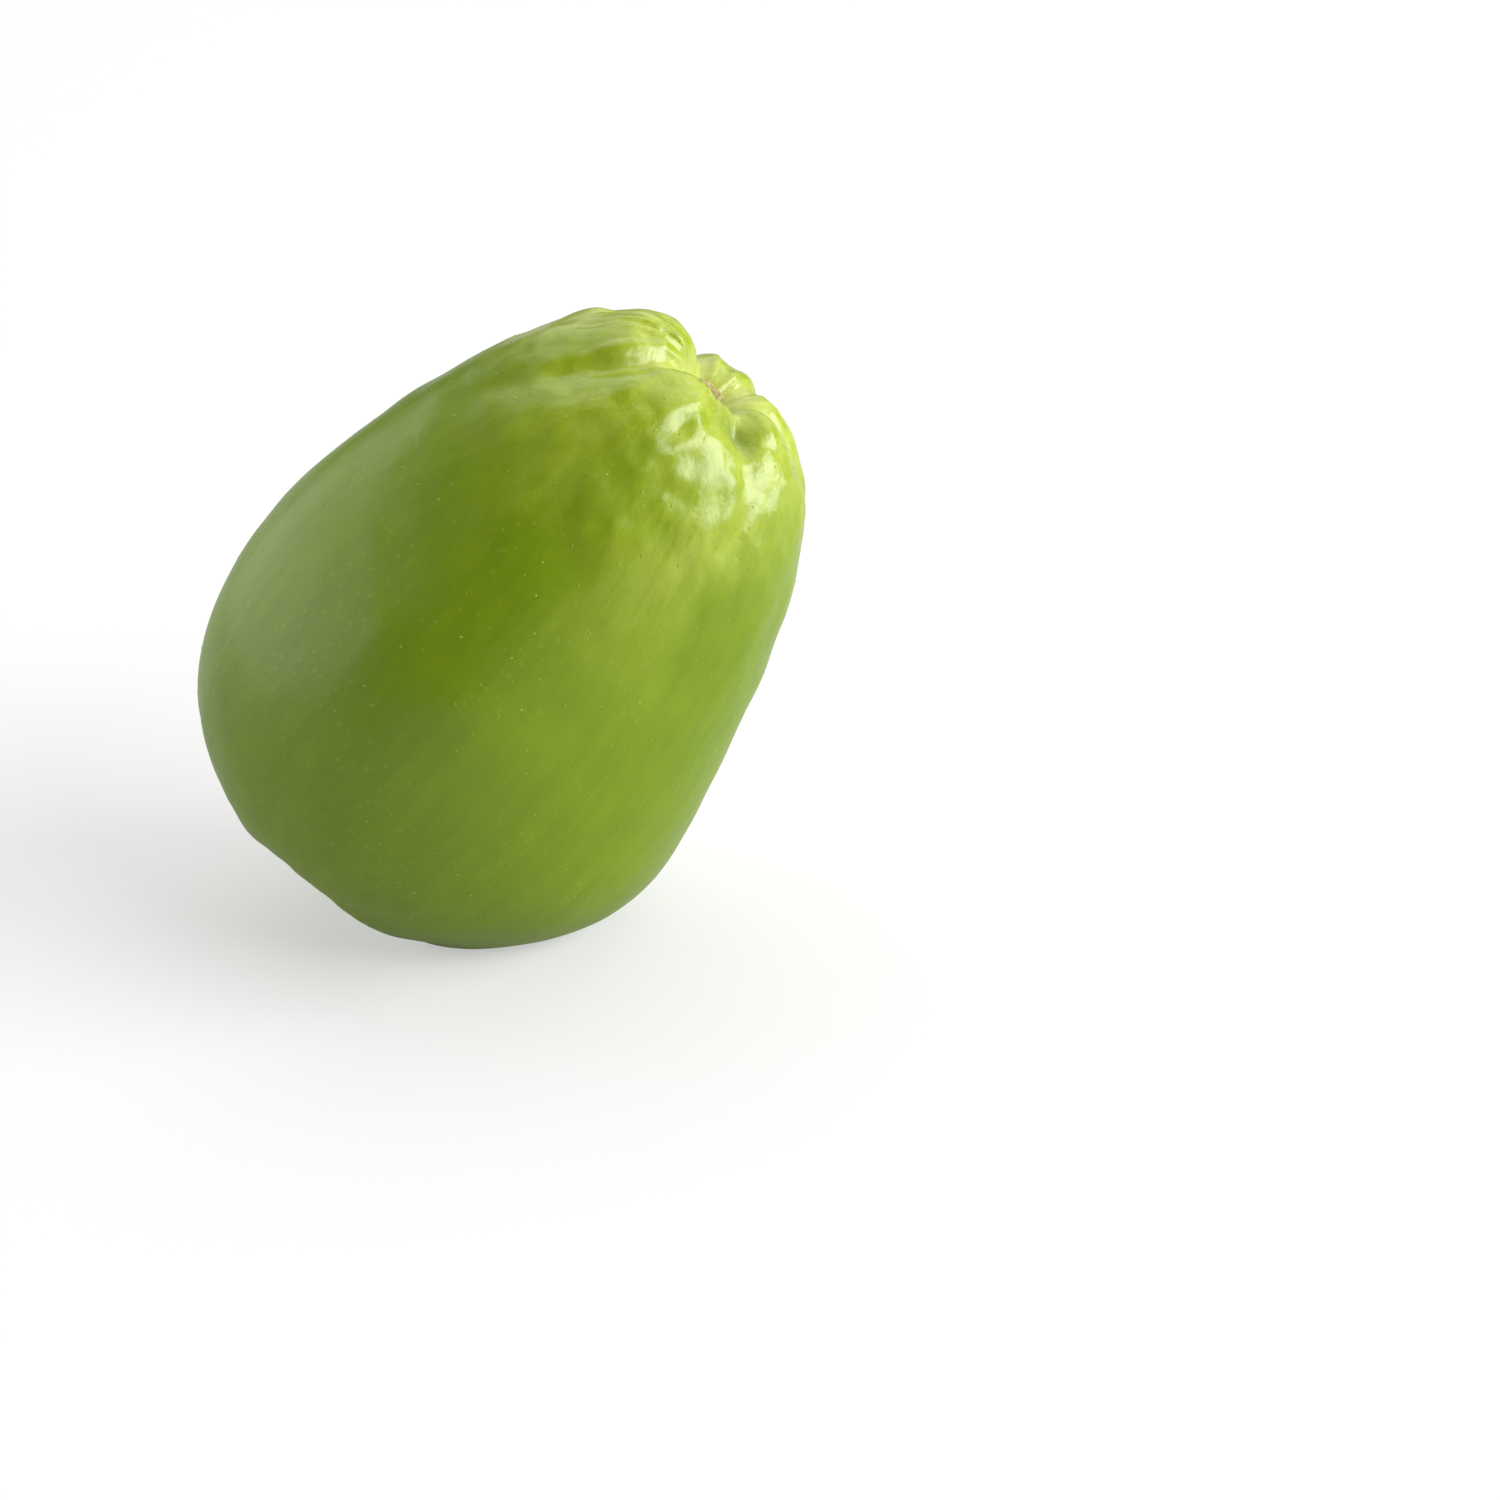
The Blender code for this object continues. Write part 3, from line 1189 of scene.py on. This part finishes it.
@dataclass
class StemScar(Nub):
    """Corky plug at the bottom of the stem pit, where the stalk broke away.

    The first dome_share of it is the dome, and the rest tucks in under the rim. heart and
    sunken are the heights of the middle and of the dome inside its rim, as shares of rise.
    """

    rings: int = 22
    segments: int = 64
    root: float = 0.0016
    radius: float = 0.0027
    rise: float = 0.0015
    dome_share: float = 0.72
    tuck: float = 0.25
    rim_at: float = 0.82
    rim_width: float = 0.16
    heart: float = 0.45
    sunken: float = 0.55
    crack_count: float = 9.0
    crack_depth: float = 0.30
    ragged_cells: float = 3.2
    ragged_along: float = 2.2
    ragged_radius: float = 0.10
    ragged_rise: float = 0.14

    def build(self) -> Object:
        """Builds a low cracked dome with a ragged rim and a sunken heart.

        Returns:
            The scar.
        """
        share, turn = self.grid()
        dome = share < self.dome_share
        under = (share - self.dome_share) / (1.0 - self.dome_share)
        out = np.where(dome, share / self.dome_share, 1.0 - self.tuck * under)
        rim = fade(out - self.rim_at, self.rim_width)
        swell = self.sunken + (1.0 - self.sunken) * rim
        height = self.rise * swell * np.clip(1.0 - out**6, 0.0, 1.0)
        height = np.where(dome, height, -self.root * under)
        ragged = spoke_noise(turn, out * self.ragged_along, self.ragged_cells, seed=53)
        cracks = np.cos(self.crack_count * turn + 2.0 * ragged) ** 8
        out = out * (1.0 + self.ragged_radius * ragged)
        cut = self.crack_depth * self.rise * cracks
        height = height - cut * np.clip(out, 0.0, 1.0) * dome
        height = height + self.ragged_rise * self.rise * ragged
        x = self.radius * out * np.cos(turn)
        y = self.radius * out * np.sin(turn)
        form = self.surface.form
        base = form.length - form.widest_height - form.pit_depth
        body = np.stack([x, y, height], axis=-1)
        return self.seat("stem_scar", body, self.heart * self.rise, base)


@dataclass
class FlowerRemains(Nub):
    """Dry, ragged stub of the flower, deep in the cleft of the blossom end."""

    rings: int = 14
    segments: int = 28
    root: float = 0.0010
    radius: float = 0.0011
    height: float = 0.0042
    bulge: float = 0.65
    fullness: float = 0.7
    thinnest: float = 0.05
    fold_count: float = 5.0
    fold_depth: float = 0.22
    twist: float = 4.0
    sway: float = 0.0005
    sway_turn: float = 3.0

    def build(self) -> Object:
        """Builds the withered, twisted stub.

        Returns:
            The stub.
        """
        share, turn = self.grid()
        wide = np.clip(np.sin(math.pi * share**self.bulge), self.thinnest, 1.0) ** self.fullness
        folds = 1.0 + self.fold_depth * np.cos(self.fold_count * turn + self.twist * share)
        radius = self.radius * wide * folds
        x = radius * np.cos(turn) + self.sway * np.sin(self.sway_turn * share)
        z = self.height * (1.0 - share) - self.root * share
        body = np.stack([x, radius * np.sin(turn), z], axis=-1)
        form = self.surface.form
        base = -form.widest_height + form.cleft_depth + form.lip_depth
        return self.seat("flower_remains", body, self.height, base, down=True)


@dataclass
class Lenticels:
    """Small raised breathing pores, scattered over the bare parts of the skin.

    least and most are the smallest and largest cap, as shares of its width, depth and height.
    """

    skin: Object
    density: float = 30000.0
    spacing: float = 0.0034
    radius: float = 0.00024
    flatness: float = 0.30
    segments: int = 8
    rings: int = 4
    least: Triple = (0.55, 0.55, 0.7)
    most: Triple = (1.25, 1.25, 1.1)
    seed: int = 7
    obj: Object | None = field(default=None, init=False)

    def tree(self, material: Material) -> NodeTree:
        """Builds the Geometry Nodes tree that scatters one low cap over the skin.

        Args:
            material: The caps' material.

        Returns:
            The tree, with its sizes as named inputs.
        """
        tree, given, out = start_tree(
            "scatter_lenticels",
            "GeometryNodeTree",
            {
                Socket.OBJECT: ("Skin",),
                Socket.NUMBER: ("Density", "Spacing", "Radius", "Flatness"),
                Socket.WHOLE: ("Seed",),
            },
            {Socket.GEOMETRY: ("Geometry",)},
        )
        read = given.outputs
        kind = "GeometryNodeObjectInfo"
        skin = tree.add(kind, {"Object": read["Skin"]}, transform_space="RELATIVE")
        kind = "GeometryNodeInputNamedAttribute"
        bare = tree.add(kind, {"Name": Attribute.BARE.value}, data_type="FLOAT")
        feeds = {
            "Mesh": skin.outputs["Geometry"],
            "Distance Min": read["Spacing"],
            "Density Max": read["Density"],
            "Density Factor": bare.outputs[0],
            "Seed": read["Seed"],
        }
        kind = "GeometryNodeDistributePointsOnFaces"
        spots = tree.add(kind, feeds, distribute_method="POISSON").outputs
        feeds = {"Segments": self.segments, "Rings": self.rings, "Radius": read["Radius"]}
        ball = tree.add("GeometryNodeMeshUVSphere", feeds).outputs[0]
        cap = tree.add("GeometryNodeTransform", {0: ball, "Scale": tree.stretch(read["Flatness"])})
        feeds = {"Min": self.least, "Max": self.most, "Seed": read["Seed"]}
        size = tree.add("FunctionNodeRandomValue", feeds, data_type="FLOAT_VECTOR")
        feeds = {
            "Points": spots["Points"],
            "Instance": cap.outputs[0],
            "Rotation": spots["Rotation"],
            "Scale": size.outputs[0],
        }
        caps = tree.add("GeometryNodeInstanceOnPoints", feeds).outputs[0]
        for step in ("GeometryNodeRealizeInstances", "GeometryNodeSetShadeSmooth"):
            caps = tree.add(step, {"Geometry": caps}).outputs[0]
        paint = tree.add("GeometryNodeSetMaterial", {"Geometry": caps, "Material": material})
        tree.feed(out, {"Geometry": paint.outputs[0]})
        return tree.tree

    def build(self, material: Material) -> Object:
        """Scatters the lenticels and turns them into a plain mesh.

        Args:
            material: The caps' material.

        Returns:
            The lenticels.
        """
        tree = self.tree(material)
        carrier = add_object("lenticel_carrier", bpy.data.meshes.new("lenticel_carrier"))
        modifier = carrier.modifiers.new("scatter", "NODES")
        modifier.node_group = tree
        for item in tree.interface.items_tree:
            if item.item_type == "SOCKET" and item.in_out == "INPUT":
                modifier[item.identifier] = getattr(self, item.name.lower())
        bpy.context.view_layer.update()
        graph = bpy.context.evaluated_depsgraph_get()
        mesh = bpy.data.meshes.new_from_object(carrier.evaluated_get(graph))
        mesh.name = "lenticels"
        bpy.data.objects.remove(carrier, do_unlink=True)
        self.obj = add_object("lenticels", mesh)
        return self.obj


@dataclass(frozen=True)
class Softbox:
    """One soft rectangular light: the way to it, how far it is, its size and its power."""

    name: str
    toward: Triple
    away: float
    size: Pair
    watts: float

    def build(self, centre: Vector) -> None:
        """Adds the light.

        Args:
            centre: What it faces.
        """
        lamp = bpy.data.lights.new(self.name, "AREA")
        lamp.shape = "RECTANGLE"
        lamp.size, lamp.size_y = self.size
        lamp.energy = self.watts
        obj = add_object(self.name, lamp)
        direction = Vector(self.toward).normalized()
        obj.location = centre + direction * self.away
        obj.rotation_euler = direction.to_track_quat("Z", "Y").to_euler()


@dataclass
class Studio:
    """Plain pale floor, soft lights and the camera.

    view_width is what the view spans at the resting spot, which lies origin_right and origin_up
    from its middle. surroundings is how brightly they light the fruit. The camera sees white.
    """

    floor_half: float = 2.4
    floor_drop: float = 0.00005
    camera_elevation: float = 28.0
    lens: float = 85.0
    sensor: float = 36.0
    view_width: float = 0.27015
    origin_right: float = -0.04617
    origin_up: float = -0.02734
    light_at: Triple = (0.03, 0.0, 0.05)
    surroundings: float = 0.10
    softboxes: tuple[Softbox, ...] = (
        Softbox("key", (0.92, -0.14, 0.38), 2.4, (1.8, 1.65), 79.0),
        Softbox("key_edge", (0.56, -0.56, 0.62), 2.4, (0.6, 0.6), 10.0),
        Softbox("top_back", (0.12, 0.55, 0.82), 4.2, (6.2, 5.7), 150.0),
        Softbox("left_wall", (-0.93, 0.12, 0.28), 3.1, (5.7, 2.0), 62.0),
    )

    def build_floor(self) -> Object:
        """Builds the floor.

        Returns:
            The floor.
        """
        half, drop = self.floor_half, self.floor_drop
        square = ((-1, -1), (1, -1), (1, 1), (-1, 1))
        points = np.array([(x * half, y * half, -drop) for x, y in square])
        floor = make_object("floor", points, [(0, 1, 2, 3)])
        floor.data.materials.append(PalePaper().make())
        return floor

    def build_lights(self) -> None:
        """Adds the lights and the even surroundings."""
        for softbox in self.softboxes:
            softbox.build(Vector(self.light_at))
        world = bpy.data.worlds.new("studio")
        bpy.context.scene.world = world
        world.use_nodes = True
        tree = TreeBuilder(world.node_tree)
        dim = world.node_tree.nodes["Background"]
        tree.feed(dim, {"Color": WHITE, "Strength": self.surroundings})
        backdrop = tree.add("ShaderNodeBackground", {"Color": WHITE})
        seen = tree.add("ShaderNodeLightPath").outputs["Is Camera Ray"]
        feeds = {0: seen, 1: dim.outputs[0], 2: backdrop.outputs[0]}
        choice = tree.add("ShaderNodeMixShader", feeds)
        tree.feed(world.node_tree.nodes["World Output"], {"Surface": choice.outputs[0]})

    def build_camera(self) -> None:
        """Adds the camera, so that the resting spot lands in its place in the view."""
        camera = bpy.data.cameras.new("camera")
        camera.lens = self.lens
        camera.sensor_width = self.sensor
        away = self.view_width * self.lens / self.sensor
        turn = Euler((math.radians(90.0 - self.camera_elevation), 0.0, 0.0))
        obj = add_object("camera", camera)
        obj.location = turn.to_matrix() @ Vector((-self.origin_right, -self.origin_up, away))
        obj.rotation_euler = turn
        bpy.context.scene.camera = obj


# ---- Putting it together ----


def clear_startup() -> None:
    """Removes whatever the scene starts with."""
    for obj in list(bpy.data.objects):
        bpy.data.objects.remove(obj, do_unlink=True)


def main() -> None:
    """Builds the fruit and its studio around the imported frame."""
    logging.basicConfig(level=logging.INFO, format="%(message)s")
    clear_startup()
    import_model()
    low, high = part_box("chayote")
    surface = FruitSurface(FruitForm())
    placing = Placing(surface, low, high)
    LOG.info("fit to the CAD box: scale %s", np.round(placing.scale, 5).tolist())
    effects = SharedEffects(placing.turn_to_own())

    skin = FruitSkin(surface, placing)
    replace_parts(skin.build(), "chayote")
    skin.dress(WaxySkin(), effects)
    scar = StemScar(surface, placing)
    scar.build()
    scar.dress(STEM_CORK, effects)
    remains = FlowerRemains(surface, placing)
    remains.build()
    remains.dress(DRY_FLOWER, effects)
    lenticels = Lenticels(skin.obj)
    lenticels.build(PORE_CORK.make(effects))
    for piece in (skin.obj, scar.obj, remains.obj, lenticels.obj):
        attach(piece, "root")
        LOG.info("%s: %d faces", piece.name, len(piece.data.polygons))

    studio = Studio()
    studio.build_floor()
    studio.build_lights()
    studio.build_camera()
    bpy.context.scene.view_settings.view_transform = "Standard"

    LOG.info("sizes written")


if __name__ == "__main__":
    main()
